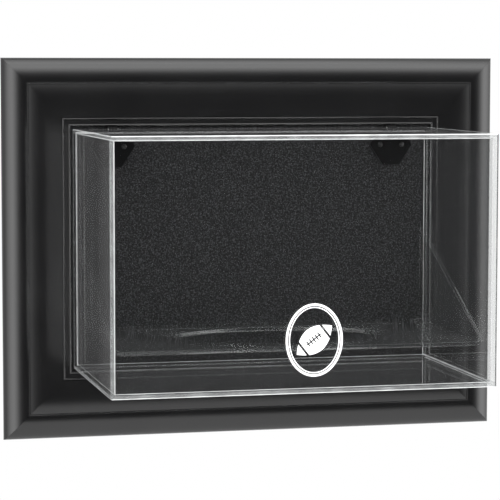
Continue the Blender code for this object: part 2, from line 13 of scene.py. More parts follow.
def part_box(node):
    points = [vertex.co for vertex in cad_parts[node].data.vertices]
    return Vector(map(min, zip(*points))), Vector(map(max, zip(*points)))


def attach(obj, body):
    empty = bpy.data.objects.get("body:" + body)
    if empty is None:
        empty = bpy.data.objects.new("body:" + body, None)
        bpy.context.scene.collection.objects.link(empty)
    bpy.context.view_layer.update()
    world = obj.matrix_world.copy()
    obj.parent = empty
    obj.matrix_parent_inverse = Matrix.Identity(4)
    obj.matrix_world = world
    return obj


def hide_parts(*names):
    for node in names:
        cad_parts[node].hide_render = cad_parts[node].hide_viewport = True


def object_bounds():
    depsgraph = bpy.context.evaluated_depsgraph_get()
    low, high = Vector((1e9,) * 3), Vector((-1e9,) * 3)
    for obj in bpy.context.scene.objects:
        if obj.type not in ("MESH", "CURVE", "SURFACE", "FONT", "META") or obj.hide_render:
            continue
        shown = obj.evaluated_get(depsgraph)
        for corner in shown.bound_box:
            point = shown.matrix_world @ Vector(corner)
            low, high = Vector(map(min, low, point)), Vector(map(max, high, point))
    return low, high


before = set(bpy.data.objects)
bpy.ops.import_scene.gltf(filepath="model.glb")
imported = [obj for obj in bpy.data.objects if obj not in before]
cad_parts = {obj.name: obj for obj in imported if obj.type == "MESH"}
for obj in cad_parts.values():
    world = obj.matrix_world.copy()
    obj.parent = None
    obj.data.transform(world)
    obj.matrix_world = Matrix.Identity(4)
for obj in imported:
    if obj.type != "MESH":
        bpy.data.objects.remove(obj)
cad_low, cad_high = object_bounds()

scene = bpy.context.scene
scene.view_settings.view_transform = "Standard"
scene.cycles.max_bounces = 24
scene.cycles.transmission_bounces = 20
scene.cycles.transparent_max_bounces = 16
scene.cycles.caustics_refractive = False
scene.cycles.caustics_reflective = False

# ---------------------------------------------------------------- sizes read from the frame
top_low, top_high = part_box("frame_rail_top")
GAP = 0.0003                 # between two pieces that touch
FRAME_W = cad_high.x - cad_low.x
FRAME_H = cad_high.z - cad_low.z
RAIL_W = top_high.z - top_low.z

felt_low, felt_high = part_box("felt_panel")
FELT_FRONT = -felt_low.y
FELT_BACK = -felt_high.y
board_low, board_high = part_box("backboard")
case_low, case_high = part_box("cover_front_panel")
lid_low, lid_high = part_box("cover_top_panel")
cradle_low, cradle_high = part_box("football_cradle")
SHEET = lid_high.z - lid_low.z
CASE_BACK = -lid_high.y
CASE_FRONT = -case_low.y

# ---------------------------------------------------------------- moulding, as in the CAD part
SIDE_FLAT = 0.0022
BEAD_CREST_U = 0.0180        # u runs in from the outer edge, d forward from the wall
BEAD_CREST_D = 0.0102
VALLEY_U = 0.0210
BEAD_INNER_REACH = 0.0045
ROLL_RADIUS = 0.0900
ROLL_START_ANGLE = 9         # degrees
TAPER_ANGLE = 2              # degrees
TAPER_END_STEP = 0.0012
LIP_WIDTH = 0.0074
REED_RADIUS = 0.0009
REED_INSET = 0.0002
REBATE_WIDTH = 0.006
REBATE_DEPTH = FELT_FRONT + GAP
LIP_THICKNESS = 0.0015
LIP_D = REBATE_DEPTH + LIP_THICKNESS
ARRIS = 0.0006               # small round on the outer back edge
MITRE_GAP = 0.00004          # each mitred end to the corner's diagonal


# ---------------------------------------------------------------- material helpers
class Nodes:
    """A short way to write a node tree."""

    def __init__(self, name):
        self.mat = bpy.data.materials.new(name)
        self.mat.use_nodes = True
        self.tree = self.mat.node_tree
        self.shader = self.tree.nodes["Principled BSDF"]
        self.output = self.tree.nodes["Material Output"]

    def add(self, kind, **settings):
        node = self.tree.nodes.new("ShaderNode" + kind)
        for key, value in settings.items():
            setattr(node, key, value)
        return node

    def link(self, source, target):
        self.tree.links.new(source, target)

    def put(self, **values):
        """Values on the shader's own sockets; an underscore stands for a space."""
        for key, value in values.items():
            self.shader.inputs[key.replace("_", " ")].default_value = value

    def coords(self, scale=(1, 1, 1)):
        source = self.add("TexCoord").outputs["Object"]
        mapping = self.add("Mapping")
        mapping.inputs["Scale"].default_value = scale
        self.link(source, mapping.inputs["Vector"])
        return mapping.outputs["Vector"]

    def noise(self, vector, scale, detail=4.0, roughness=0.5):
        node = self.add("TexNoise")
        node.inputs["Scale"].default_value = scale
        node.inputs["Detail"].default_value = detail
        node.inputs["Roughness"].default_value = roughness
        self.link(vector, node.inputs["Vector"])
        return node.outputs["Fac"]

    def ramp(self, value, stops):
        node = self.add("ValToRGB")
        while len(node.color_ramp.elements) < len(stops):
            node.color_ramp.elements.new(0.5)
        for element, (place, colour) in zip(node.color_ramp.elements, stops):
            element.position = place
            element.color = (*colour, 1)
        self.link(value, node.inputs["Fac"])
        return node.outputs["Color"]

    def span(self, value, low, high, start=0.0, end=1.0):
        """Maps a value from between start and end to between low and high."""
        node = self.add("MapRange")
        node.inputs["From Min"].default_value = start
        node.inputs["From Max"].default_value = end
        node.inputs["To Min"].default_value = low
        node.inputs["To Max"].default_value = high
        self.link(value, node.inputs["Value"])
        return node.outputs["Result"]

    def bump(self, height, distance, strength=1.0):
        node = self.add("Bump")
        node.inputs["Distance"].default_value = distance
        node.inputs["Strength"].default_value = strength
        self.link(height, node.inputs["Height"])
        self.link(node.outputs["Normal"], self.shader.inputs["Normal"])

    def mix(self, factor, first, second):
        node = self.add("Mix", data_type="RGBA")
        self.link(factor, node.inputs["Factor"])
        for socket, value in ((node.inputs["A"], first), (node.inputs["B"], second)):
            if isinstance(value, tuple):
                socket.default_value = (*value, 1)
            else:
                self.link(value, socket)
        return node.outputs["Result"]


def lacquer():
    """Satin black lacquer, slightly cloudy, over a fine orange-peel surface."""
    n = Nodes("satin_black_lacquer")
    cloud = n.noise(n.coords((6, 6, 6)), 4.0, 5.0)
    n.link(n.ramp(cloud, [(0.3, (0.0030, 0.0030, 0.0032)), (0.75, (0.0044, 0.0044, 0.0046))]),
           n.shader.inputs["Base Color"])
    n.link(n.span(cloud, 0.17, 0.22), n.shader.inputs["Roughness"])
    fine = n.noise(n.coords(), 900.0, 3.0)
    n.bump(fine, 0.00002, 0.2)
    return n.mat


def felt():
    """Short black felt: dense dark pile with paler fibre ends."""
    n = Nodes("black_felt")
    here = n.coords()
    speck = n.noise(here, 700.0, 3.0, 0.85)
    blotch = n.noise(here, 160.0, 4.0, 0.6)
    dark = n.ramp(blotch, [(0.25, (0.0030, 0.0030, 0.0031)), (0.8, (0.0055, 0.0055, 0.0057))])
    fibres = n.ramp(speck, [(0.48, (0, 0, 0)), (0.70, (1, 1, 1))])
    n.link(n.mix(fibres, dark, (0.046, 0.046, 0.048)), n.shader.inputs["Base Color"])
    n.put(Roughness=0.95, Sheen_Weight=0.04, Sheen_Roughness=0.5, Specular_IOR_Level=0.1)
    n.bump(speck, 0.0004, 0.8)
    return n.mat


def hardboard():
    """Pressed brown fibreboard."""
    n = Nodes("hardboard")
    here = n.coords()
    fibre = n.noise(here, 420.0, 6.0, 0.7)
    cloud = n.noise(here, 30.0, 4.0)
    base = n.ramp(fibre, [(0.3, (0.11, 0.060, 0.030)), (0.7, (0.24, 0.145, 0.080))])
    shade = n.ramp(cloud, [(0.3, (0.75, 0.75, 0.75)), (0.7, (1, 1, 1))])
    mixed = n.add("Mix", data_type="RGBA", blend_type="MULTIPLY")
    mixed.inputs["Factor"].default_value = 1.0
    n.link(base, mixed.inputs["A"])
    n.link(shade, mixed.inputs["B"])
    n.link(mixed.outputs["Result"], n.shader.inputs["Base Color"])
    n.link(n.span(fibre, 0.7, 0.95), n.shader.inputs["Roughness"])
    n.bump(fibre, 0.0002, 0.5)
    return n.mat


def clear_sheet(name, tint, film):
    """Clear acrylic as each of its faces shows it.

    A mirror share rises towards grazing, with a faint film of polishing streaks over the clear view.
    """
    n = Nodes(name)
    facing = n.add("LayerWeight")
    facing.inputs["Blend"].default_value = 0.5
    power = n.add("Math", operation="POWER")
    power.inputs[1].default_value = 5
    n.link(facing.outputs["Facing"], power.inputs[0])
    mirror = n.span(power.outputs["Value"], 0.04, 1.0)
    glossy = n.add("BsdfAnisotropic")
    glossy.inputs["Roughness"].default_value = 0.03
    clear = n.add("BsdfTransparent")
    clear.inputs["Color"].default_value = (*tint, 1)
    face = n.add("MixShader")
    n.link(mirror, face.inputs["Fac"])
    n.link(clear.outputs["BSDF"], face.inputs[1])
    n.link(glossy.outputs["BSDF"], face.inputs[2])
    streaks = n.noise(n.coords((260, 260, 5)), 1.0, 3.0, 0.6)
    square = n.add("Math", operation="POWER")
    square.inputs[1].default_value = 2.5
    n.link(facing.outputs["Facing"], square.inputs[0])
    edge_on = n.span(square.outputs["Value"], 0.0003, film)
    amount = n.add("Math", operation="MULTIPLY")
    n.link(n.span(streaks, 0.3, 1.7, 0.3, 0.7), amount.inputs[0])
    n.link(edge_on, amount.inputs[1])
    dust = n.add("BsdfDiffuse")
    dust.inputs["Color"].default_value = (0.85, 0.85, 0.86, 1)
    whole = n.add("MixShader")
    n.link(amount.outputs["Value"], whole.inputs["Fac"])
    n.link(face.outputs["Shader"], whole.inputs[1])
    n.link(dust.outputs["BSDF"], whole.inputs[2])
    n.link(whole.outputs["Shader"], n.output.inputs["Surface"])
    return n.mat


def lit_edge(name, colour, solid):
    """Painted light on a polished edge or bonded seam of the acrylic, partly seen through: a pale
    colour is painted glow for the light the sheet carries to its edges, a dark one is painted shade.
    """
    n = Nodes(name)
    cloud = n.noise(n.coords((30, 30, 30)), 3.0, 3.0)
    low = tuple(c * 0.9 for c in colour)
    high = tuple(c * 1.1 for c in colour)
    n.link(n.ramp(cloud, [(0.3, low), (0.7, high)]), n.shader.inputs["Base Color"])
    n.put(Roughness=0.25)
    clear = n.add("BsdfTransparent")
    blend = n.add("MixShader")
    n.link(n.span(cloud, solid - 0.08, solid + 0.08, 0.3, 0.7), blend.inputs["Fac"])
    n.link(clear.outputs["BSDF"], blend.inputs[1])
    n.link(n.shader.outputs["BSDF"], blend.inputs[2])
    n.link(blend.outputs["Shader"], n.output.inputs["Surface"])
    return n.mat


def black_plastic():
    """Black moulded plastic with little gloss."""
    n = Nodes("black_hinge_plastic")
    grain = n.noise(n.coords(), 2500.0, 3.0)
    n.link(n.ramp(grain, [(0.3, (0.0012, 0.0012, 0.0013)), (0.8, (0.0026, 0.0026, 0.0028))]),
           n.shader.inputs["Base Color"])
    n.link(n.span(grain, 0.24, 0.34), n.shader.inputs["Roughness"])
    n.bump(grain, 0.00002, 0.3)
    n.put(Specular_IOR_Level=0.08)
    return n.mat


def metal(name, colour, low, high):
    """Metal with a varying polish between two roughnesses."""
    n = Nodes(name)
    streak = n.noise(n.coords(), 300.0, 4.0, 0.6)
    pale = tuple(min(1.0, c * 1.12) for c in colour)
    dark = tuple(c * 0.86 for c in colour)
    n.link(n.ramp(streak, [(0.3, dark), (0.7, pale)]), n.shader.inputs["Base Color"])
    n.link(n.span(streak, low, high), n.shader.inputs["Roughness"])
    n.put(Metallic=1.0)
    n.bump(streak, 0.00002, 0.4)
    return n.mat


def etched_white():
    """White fill of the etched emblem, slightly mottled as sprayed ink is."""
    n = Nodes("etched_white")
    mottle = n.noise(n.coords(), 700.0, 3.0)
    n.link(n.ramp(mottle, [(0.3, (0.80, 0.80, 0.80)), (0.7, (0.90, 0.90, 0.90))]),
           n.shader.inputs["Base Color"])
    n.link(n.span(mottle, 0.45, 0.65), n.shader.inputs["Roughness"])
    return n.mat


def pale_floor():
    """Plain pale floor."""
    n = Nodes("pale_floor")
    cloud = n.noise(n.coords(), 2.0, 3.0)
    n.link(n.ramp(cloud, [(0.3, (0.84, 0.84, 0.84)), (0.7, (0.87, 0.87, 0.87))]),
           n.shader.inputs["Base Color"])
    n.put(Roughness=0.8)
    return n.mat


LACQUER = lacquer()
FELT = felt()
HARDBOARD = hardboard()
COVER_ACRYLIC = clear_sheet("cover_acrylic", (0.985, 0.988, 0.988), 0.02)
CRADLE_ACRYLIC = clear_sheet("cradle_acrylic", (0.975, 0.98, 0.98), 0.015)
# Painted light on the acrylic: the pale copies are painted glow on seams and edges, the dark copy is
# painted shade on edges turned away from the light.
SEAM_GLOW_MATERIAL = lit_edge("bonded_seam_painted_glow", (0.34, 0.35, 0.35), 0.40)
EDGE_GLOW_MATERIAL = lit_edge("polished_edge_painted_glow", (0.60, 0.61, 0.61), 0.88)
SHADED_EDGE = lit_edge("shaded_edge", (0.035, 0.035, 0.037), 0.75)
CRADLE_EDGE_GLOW_MATERIAL = lit_edge("cradle_edge_painted_glow", (0.42, 0.43, 0.43), 0.60)
PLASTIC = black_plastic()
ZINC = metal("zinc_steel", (0.58, 0.59, 0.60), 0.32, 0.55)
PIN_STEEL = metal("pin_steel", (0.72, 0.72, 0.72), 0.10, 0.20)
BLACK_STEEL = metal("black_screw", (0.03, 0.03, 0.03), 0.30, 0.45)
WHITE = etched_white()


# ---------------------------------------------------------------- shape helpers
def mesh_of(bm, name):
    """A mesh from a BMesh, which is then freed."""
    bmesh.ops.recalc_face_normals(bm, faces=bm.faces)
    mesh = bpy.data.meshes.new(name)
    bm.to_mesh(mesh)
    bm.free()
    return mesh


def piece(name, mesh, body, mat, replaced=()):
    """A named piece that rides on a body and takes its finish from a slot."""
    thing = bpy.data.objects.new(name, mesh)
    scene.collection.objects.link(thing)
    mesh.materials.clear()
    mesh.materials.append(mat)
    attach(thing, body)
    if replaced:
        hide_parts(*replaced)
    return thing


def smooth(thing, angle):
    """Smooth shading, with the edges that turn more than an angle kept sharp."""
    thing.data.shade_smooth()
    thing.data.set_sharp_from_angle(angle=math.radians(angle))


def arc(centre_u, centre_d, radius_u, radius_d, start, end, steps):
    """Points of an ellipse's arc, both ends included."""
    angles = [start + (end - start) * i / steps for i in range(steps + 1)]
    return [(centre_u + radius_u * math.cos(a), centre_d + radius_d * math.sin(a)) for a in angles]


def box_bm(low, high):
    """A box between corners given as (x, depth, z)."""
    size = [high[i] - low[i] for i in range(3)]
    middle = [(high[i] + low[i]) / 2 for i in range(3)]
    bm = bmesh.new()
    place = Matrix.Translation((middle[0], -middle[1], middle[2])) @ Matrix.Diagonal((*size, 1))
    bmesh.ops.create_cube(bm, size=1, matrix=place)
    return bm


def extruded(outline, d_back, d_front):
    """A closed outline of (x, z) points between two depths."""
    bm = bmesh.new()
    face = bm.faces.new([bm.verts.new((x, -d_back, z)) for x, z in outline])
    grown = bmesh.ops.extrude_face_region(bm, geom=[face])
    moved = [v for v in grown["geom"] if isinstance(v, bmesh.types.BMVert)]
    bmesh.ops.translate(bm, verts=moved, vec=(0, d_back - d_front, 0))
    return bm


def bevel_edges(bm, width, segments=2, angle=30):
    """Rounds the edges that turn more than an angle, and returns the new faces."""
    limit = math.radians(angle)
    edges = [e for e in bm.edges if len(e.link_faces) == 2 and e.calc_face_angle(0) > limit]
    made = bmesh.ops.bevel(
        bm,
        geom=edges,
        offset=width,
        segments=segments,
        profile=0.5,
        affect="EDGES",
        clamp_overlap=True,
    )
    return made["faces"]


def slice_off(bm, point, normal):
    """Removes what lies beyond a plane and closes the cut."""
    sliced = bmesh.ops.bisect_plane(
        bm,
        geom=bm.verts[:] + bm.edges[:] + bm.faces[:],
        plane_co=point,
        plane_no=normal,
        clear_outer=True,
    )
    rim = [e for e in sliced["geom_cut"] if isinstance(e, bmesh.types.BMEdge)]
    bmesh.ops.holes_fill(bm, edges=rim)


def cut(thing, cutters):
    """Cuts a piece with scratch meshes and keeps only the result."""
    for number, bm in enumerate(cutters):
        tool = bpy.data.objects.new(f"scratch_{number}", mesh_of(bm, "scratch"))
        scene.collection.objects.link(tool)
        step = thing.modifiers.new("cut", "BOOLEAN")
        step.object = tool
        step.operation = "DIFFERENCE"
        step.solver = "EXACT"
        bpy.context.view_layer.update()
        solved = thing.evaluated_get(bpy.context.evaluated_depsgraph_get())
        done = bpy.data.meshes.new_from_object(solved)
        thing.modifiers.clear()
        old = thing.data
        thing.data = done
        done.name = old.name
        bpy.data.objects.remove(tool, do_unlink=True)


# ---------------------------------------------------------------- frame rails
def rail_profile():
    """The moulding's outline, finer than the CAD solid's."""
    quarter = math.pi / 2
    lip_u = RAIL_W - LIP_WIDTH
    climb, fall = math.radians(ROLL_START_ANGLE), math.radians(TAPER_ANGLE)
    roll_u = VALLEY_U + ROLL_RADIUS * math.sin(climb)
    taper_length = lip_u - roll_u - ROLL_RADIUS * math.sin(fall)
    taper_top = LIP_D + TAPER_END_STEP + taper_length * math.tan(fall)
    roll_d = taper_top - ROLL_RADIUS * math.cos(fall)
    valley_d = roll_d + ROLL_RADIUS * math.cos(climb)
    rise = BEAD_CREST_D - SIDE_FLAT
    outer = arc(BEAD_CREST_U, SIDE_FLAT, BEAD_CREST_U, rise, math.pi, quarter, 28)
    end = math.acos((VALLEY_U - BEAD_CREST_U) / BEAD_INNER_REACH)
    height = (BEAD_CREST_D - valley_d) / (1 - math.sin(end))
    inner = arc(BEAD_CREST_U, BEAD_CREST_D - height, BEAD_INNER_REACH, height, quarter, end, 20)
    roll = arc(roll_u, roll_d, ROLL_RADIUS, ROLL_RADIUS, quarter + climb, quarter - fall, 24)
    foot = [(lip_u, LIP_D + TAPER_END_STEP), (lip_u, LIP_D)]
    reeds = []
    for centre in (lip_u + REED_INSET + REED_RADIUS, RAIL_W - REED_INSET - REED_RADIUS):
        reeds += arc(centre, LIP_D, REED_RADIUS, REED_RADIUS, math.pi, 0, 12)
    rear = [
        (RAIL_W, LIP_D),
        (RAIL_W, REBATE_DEPTH),
        (RAIL_W - REBATE_WIDTH, REBATE_DEPTH),
        (RAIL_W - REBATE_WIDTH, ARRIS),
        (RAIL_W - REBATE_WIDTH - ARRIS, 0),
    ]
    corner = arc(ARRIS, ARRIS, ARRIS, ARRIS, 1.5 * math.pi, math.pi, 4)
    return outer + inner[1:] + roll[1:] + foot + reeds + rear + corner


RAIL_TURNS = {"top": 0, "right": 90, "bottom": 180, "left": 270}


def rail_place(side):
    """Turns a rail built round its outer edge to its own side of the frame."""
    reach = FRAME_H / 2 if side in ("top", "bottom") else FRAME_W / 2
    turn = Matrix.Rotation(math.radians(RAIL_TURNS[side]), 4, "Y")
    return turn @ Matrix.Translation((0, 0, reach))


def rail_bm(side):
    """The moulding along one side, mitred at both ends."""
    length = FRAME_W if side in ("top", "bottom") else FRAME_H
    bm = bmesh.new()
    start = [bm.verts.new((-length / 2, -d, -u)) for u, d in rail_profile()]
    grown = bmesh.ops.extrude_face_region(bm, geom=[bm.faces.new(start)])
    moved = [v for v in grown["geom"] if isinstance(v, bmesh.types.BMVert)]
    bmesh.ops.translate(bm, verts=moved, vec=(length, 0, 0))
    for way in (-1, 1):
        normal = Vector((way, 0, -1)).normalized()
        slice_off(bm, Vector((way * length / 2, 0, 0)) - normal * MITRE_GAP, normal)
    bmesh.ops.transform(bm, matrix=rail_place(side), verts=bm.verts)
    return bm


def padded_box(node, pad):
    """The box of a node, grown on every side."""
    low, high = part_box(node)
    near = (low.x - pad, -high.y - pad, low.z - pad)
    return box_bm(near, (high.x + pad, -low.y + pad, high.z + pad))


def strip_outline(low, high, grow):
    """A strip with round ends along X, round a box."""
    radius = (high.z - low.z) / 2
    reach = (high.x - low.x) / 2 - radius
    x, z = (high.x + low.x) / 2, (high.z + low.z) / 2
    round_end = radius + grow
    right = arc(x + reach, z, round_end, round_end, -math.pi / 2, math.pi / 2, 20)
    return right + arc(x - reach, z, round_end, round_end, math.pi / 2, 1.5 * math.pi, 20)


KEYHOLE_D = 0.0090
KEYHOLE_SLOT = 0.0046
KEYHOLE_TRAVEL = 0.0050
HEAD_ROOM = 0.0070           # wall to the end of the pocket behind each keyhole
POCKET_REAR = 0.0002         # wall to the start of that pocket
NAIL_GAUGE = 0.0008
RETAINER_POINTS = [f"retainer_point_{number}" for number in range(1, 11)]
CORNERS = ("top_right", "top_left", "bottom_right", "bottom_left")


def upright_slot(x, low_z, high_z, radius):
    """An upright slot with round ends."""
    top = arc(x, high_z, radius, radius, 0, math.pi, 24)
    return top + arc(x, low_z, radius, radius, math.pi, math.tau, 24)


def hanger_places():
    """Each hanger's box and the centre of its keyhole's round opening."""
    for hand in ("left", "right"):
        low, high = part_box("keyhole_hanger_" + hand)
        x, z = (low.x + high.x) / 2, (low.z + high.z) / 2
        drop = (KEYHOLE_TRAVEL + KEYHOLE_SLOT / 2 - KEYHOLE_D / 2) / 2
        yield low, high, x, z - drop


def make_rails():
    """The four rails, with room cut for the points, the V-nails and the hangers."""
    for side in RAIL_TURNS:
        name = "frame_rail_" + side
        mesh = mesh_of(rail_bm(side), name)
        rail = piece("rail_" + side, mesh, "frame", LACQUER, (name,))
        rail_low, rail_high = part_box(name)
        cutters = []
        for node in RETAINER_POINTS:
            low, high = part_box(node)
            if all(low[k] < rail_high[k] and high[k] > rail_low[k] for k in (0, 2)):
                cutters.append(padded_box(node, GAP))
        if side == "top":
            for low, high, x, round_z in hanger_places():
                cutters.append(extruded(strip_outline(low, high, GAP), -GAP, -low.y + GAP))
                slot = upright_slot(x, round_z, round_z + KEYHOLE_TRAVEL, KEYHOLE_D / 2)
                cutters.append(extruded(slot, POCKET_REAR, HEAD_ROOM))
        for corner in CORNERS:
            if side in corner.split("_"):
                cutters += nail_cutters(corner)
        cut(rail, cutters)
        smooth(rail, 32)


def nail_cutters(corner):
    """Two slots, one round each leg of a V-nail."""
    low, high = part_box("corner_nail_" + corner)
    front = -low.y + GAP
    leg_z = high.z - NAIL_GAUGE if corner.startswith("top") else low.z
    leg_x = high.x - NAIL_GAUGE if corner.endswith("right") else low.x
    across = box_bm(
        (low.x - GAP, -GAP, leg_z - GAP),
        (high.x + GAP, front, leg_z + NAIL_GAUGE + GAP),
    )
    along = box_bm(
        (leg_x - GAP, -GAP, low.z - GAP),
        (leg_x + NAIL_GAUGE + GAP, front, high.z + GAP),
    )
    return [across, along]


# ---------------------------------------------------------------- felt and backboard
FELT_EASE = 0.0001           # the felt's face to the front of the CAD panel
FELT_ROUND = 0.0004
BOARD_CHAMFER = 0.0003


def make_back():
    """The felt, one sheet stretched over the panel, and the hardboard behind it."""
    face = FELT_FRONT - FELT_EASE
    bm = box_bm((felt_low.x, FELT_BACK, felt_low.z), (felt_high.x, face, felt_high.z))
    bevel_edges(bm, FELT_ROUND, 3)
    mesh = mesh_of(bm, "felt_sheet")
    felt_piece = piece("felt_sheet", mesh, "frame", FELT, ("felt_panel",))
    smooth(felt_piece, 40)
    rear = (board_low.x, -board_high.y, board_low.z)
    bm = box_bm(rear, (board_high.x, -board_low.y, board_high.z))
    bevel_edges(bm, BOARD_CHAMFER, 1)
    mesh = mesh_of(bm, "hardboard_back")
    piece("hardboard_back", mesh, "frame", HARDBOARD, ("backboard",))


# ---------------------------------------------------------------- clear cover and cradle
EDGE = 0.0007                # flame-polished arris of the acrylic
END_SHADE = 0.0014           # darker border along the right end of the front panel
NOTCH_CLEAR = 0.0008         # round each hinge, in the cover's top panel
PANELS = tuple(f"cover_{side}_panel" for side in ("front", "top", "bottom", "left", "right"))
CLEAR, GLOWING_SEAM, LIT, SHADED = range(4)
COVER_PAINTED_LIGHT = (SEAM_GLOW_MATERIAL, EDGE_GLOW_MATERIAL, SHADED_EDGE)
SLANTED = 0.3                # a rounded edge's normal has at least this share along an axis
SQUARE_ON = 0.999            # a flat panel face's normal has at least this share along its axis


def cover_zone(here, normal, low, high):
    """Which face of the shell stays clear, gets painted glow or gets painted shade, by where it is
    and which way it looks.
    """
    steepest = max(range(3), key=lambda k: abs(normal[k]))
    half = SHEET / 2
    inner = low.x + half < here.x < high.x - half and low.z + half < here.z < high.z - half
    # Rounded edges all get painted light: painted glow on most, painted shade on the right front
    # edge.
    if abs(normal[steepest]) < SQUARE_ON:
        if normal.y > SLANTED and not inner:
            return GLOWING_SEAM
        # Front edges: painted shade on the one turned right, away from the light, painted glow on
        # the one turned left.
        if abs(normal.x) > SLANTED and normal.y < -SLANTED and not inner:
            return SHADED if normal.x > 0 else GLOWING_SEAM
        return LIT
    # Flat strips where one panel meets another get painted glow; the rest stays clear.
    in_seam = (
        here.x > high.x - SHEET or here.x < low.x + SHEET,
        here.y < -CASE_FRONT + SHEET,
        here.z > high.z - SHEET or here.z < low.z + SHEET,
    )
    if steepest == 1 and normal.y > 0:
        return CLEAR
    # Painted shade: a darker border along the right end of the front panel.
    if steepest == 1 and here.x > high.x - END_SHADE:
        return SHADED
    return GLOWING_SEAM if any(in_seam[k] for k in range(3) if k != steepest) else CLEAR


def make_cover():
    """The five bonded panels as one clear shell, open at the back, with the hinge notches cut."""
    low, high = case_low, Vector((case_high.x, lid_high.y, case_high.z))
    mesh = mesh_of(box_bm((low.x, CASE_BACK, low.z), (high.x, CASE_FRONT, high.z)), "clear_cover")
    shell = piece("clear_cover", mesh, "cover", COVER_ACRYLIC, PANELS)
    inside = box_bm(
        (low.x + SHEET, CASE_BACK - SHEET, low.z + SHEET),
        (high.x - SHEET, CASE_FRONT - SHEET, high.z - SHEET),
    )
    cutters = [inside]
    for hand in ("left", "right"):
        pin_low, pin_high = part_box("hinge_pin_" + hand)
        leaf_low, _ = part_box(f"hinge_{hand}_wall_leaf")
        notch = box_bm(
            (pin_low.x - NOTCH_CLEAR, CASE_BACK - SHEET, lid_low.z - SHEET),
            (pin_high.x + NOTCH_CLEAR, -leaf_low.y + NOTCH_CLEAR, lid_high.z + SHEET),
        )
        cutters.append(notch)
    cut(shell, cutters)
    bm = bmesh.new()
    bm.from_mesh(shell.data)
    bmesh.ops.dissolve_limit(bm, angle_limit=0.01, verts=bm.verts, edges=bm.edges)
    bevel_edges(bm, EDGE, 2, 45)
    # Cuts that split the faces where the painted glow and painted shade begin and end.
    borders = (
        (0, high.x - SHEET),
        (0, high.x - END_SHADE),
        (0, low.x + SHEET),
        (1, -CASE_FRONT + SHEET),
        (2, high.z - SHEET),
        (2, low.z + SHEET),
    )
    for axis, place in borders:
        point, normal = Vector(), Vector()
        point[axis] = place
        normal[axis] = 1
        everything = bm.verts[:] + bm.edges[:] + bm.faces[:]
        bmesh.ops.bisect_plane(bm, geom=everything, plane_co=point, plane_no=normal)
    bm.to_mesh(shell.data)
    bm.free()
    # Painted glow and painted shade on the seams and edges.
    for mat in COVER_PAINTED_LIGHT:
        shell.data.materials.append(mat)
    for face in shell.data.polygons:
        face.material_index = cover_zone(face.center, face.normal, low, high)
    smooth(shell, 20)


CRADLE_SHEET = 0.0030
CRADLE_BEND = 0.0055         # inside radius of the two bends
CRADLE_EDGE = 0.0004
WING_FRONT_LIP = 0.0004      # shelf to the foot of the wings' slope, at the front
HOLE_LENGTH = 0.168
HOLE_WIDTH = 0.102
HOLE_FROM_FELT = 0.0813      # felt to the centre of the hole


def make_cradle():
    """One bent sheet: a shelf with an oval hole, and two sides cut on a slope."""
    half = cradle_high.x
    shelf_top = cradle_low.z + CRADLE_SHEET
    inside, outside = CRADLE_BEND, CRADLE_BEND + CRADLE_SHEET
    top = cradle_high.z + outside
    bend_x, bend_z = half - outside, shelf_top + inside
    right = arc(bend_x, bend_z, outside, outside, -math.pi / 2, 0, 20)
    right += [(half, top), (half - CRADLE_SHEET, top)]
    right += arc(bend_x, bend_z, inside, inside, 0, -math.pi / 2, 20)
    section = right + [(-x, z) for x, z in reversed(right)]
    back, front = -cradle_high.y, -cradle_low.y
    bm = extruded(section, back, front)
    low_corner = Vector((0, -front, shelf_top + WING_FRONT_LIP))
    high_corner = Vector((0, -back, cradle_high.z))
    slope = (high_corner - low_corner).normalized()
    slice_off(bm, low_corner, Vector((1, 0, 0)).cross(slope))
    mesh = mesh_of(bm, "clear_cradle")
    cradle = piece(
        "clear_cradle", mesh, "cover", CRADLE_ACRYLIC, ("football_cradle",)
    )
    oval = bmesh.new()
    place = Matrix.Translation((0, -(FELT_FRONT + HOLE_FROM_FELT), shelf_top - CRADLE_SHEET / 2))
    bmesh.ops.create_cone(
        oval,
        cap_ends=True,
        segments=128,
        radius1=1,
        radius2=1,
        depth=4 * CRADLE_SHEET,
        matrix=place @ Matrix.Diagonal((HOLE_LENGTH / 2, HOLE_WIDTH / 2, 1, 1)),
    )
    cut(cradle, [oval])
    bm = bmesh.new()
    bm.from_mesh(cradle.data)
    bmesh.ops.dissolve_limit(bm, angle_limit=0.01, verts=bm.verts, edges=bm.edges)
    # The cradle's rounded edges get painted glow.
    for face in bevel_edges(bm, CRADLE_EDGE, 2, 50):
        face.material_index = 1
    cradle.data.materials.append(CRADLE_EDGE_GLOW_MATERIAL)
    bm.to_mesh(cradle.data)
    bm.free()
    smooth(cradle, 30)


# ---------------------------------------------------------------- emblem on the front panel
EMBLEM_X = 0.005
EMBLEM_Z = -0.0575
EMBLEM_WIDE = 0.045
EMBLEM_TALL = 0.056
EMBLEM_LIFT = 0.00002        # front panel to the rear of the print
EMBLEM_THICK = 0.00015       # front panel to the front of the print
EMBLEM_CUT = 0.001           # reach of the cutters on each side of the panel's face
RING_WIDTH = 0.0018
INNER_RING_START = 0.0026    # both from the badge's outer edge
INNER_RING_END = 0.0034
BALL_TILT = 38               # degrees
BALL_SCALE = 0.0195          # what 1 means in the ball's own outline


def placed(points):
    """Points of the ball's own axes, turned and moved to the emblem."""
    tilt = math.radians(BALL_TILT)
    cos, sin = math.cos(tilt), math.sin(tilt)
    return [
        (EMBLEM_X + BALL_SCALE * (x * cos - z * sin), EMBLEM_Z + BALL_SCALE * (x * sin + z * cos))
        for x, z in points
    ]


def ball_outline(half_length, half_height, steps=24):
    """Two parabolas that meet in points."""
    across = [-half_length + 2 * half_length * i / steps for i in range(steps + 1)]
    curve = [(x, half_height * (1 - (x / half_length) ** 2)) for x in across]
    return curve + [(x, -z) for x, z in reversed(curve[1:-1])]


